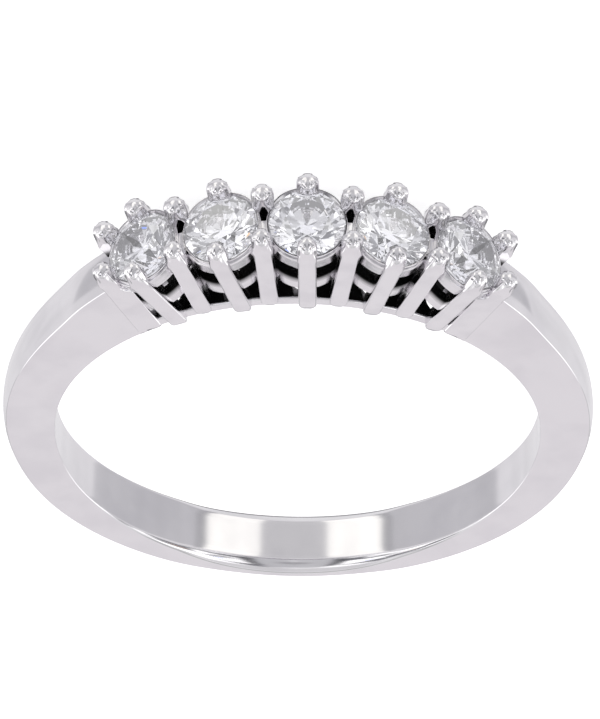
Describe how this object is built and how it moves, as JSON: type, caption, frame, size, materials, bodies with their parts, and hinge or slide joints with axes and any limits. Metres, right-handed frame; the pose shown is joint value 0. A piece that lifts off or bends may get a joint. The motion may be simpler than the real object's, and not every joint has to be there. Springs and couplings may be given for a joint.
{
  "type": "diamond ring",
  "caption": "White metal finger ring: a tapering polished band with an openwork claw setting that holds a curved row of round brilliant cut diamonds.",
  "frame": {"origin": "centre of the finger hole, on its axis, halfway through the band", "axes": "+Z along the finger hole's axis, up out of the face that lies uppermost; -Y towards the middle stone; X across the row of stones"},
  "size_m": [0.0208, 0.0229, 0.0034],
  "materials": {
    "white_gold": "high polish, rhodium-white",
    "diamond": "polished facets"
  },
  "bodies": {
    "root": {"band_and_setting": "white_gold", "diamond_1": "diamond", "diamond_2": "diamond", "diamond_3": "diamond", "diamond_4": "diamond", "diamond_5": "diamond"}
  },
  "joints": []
}
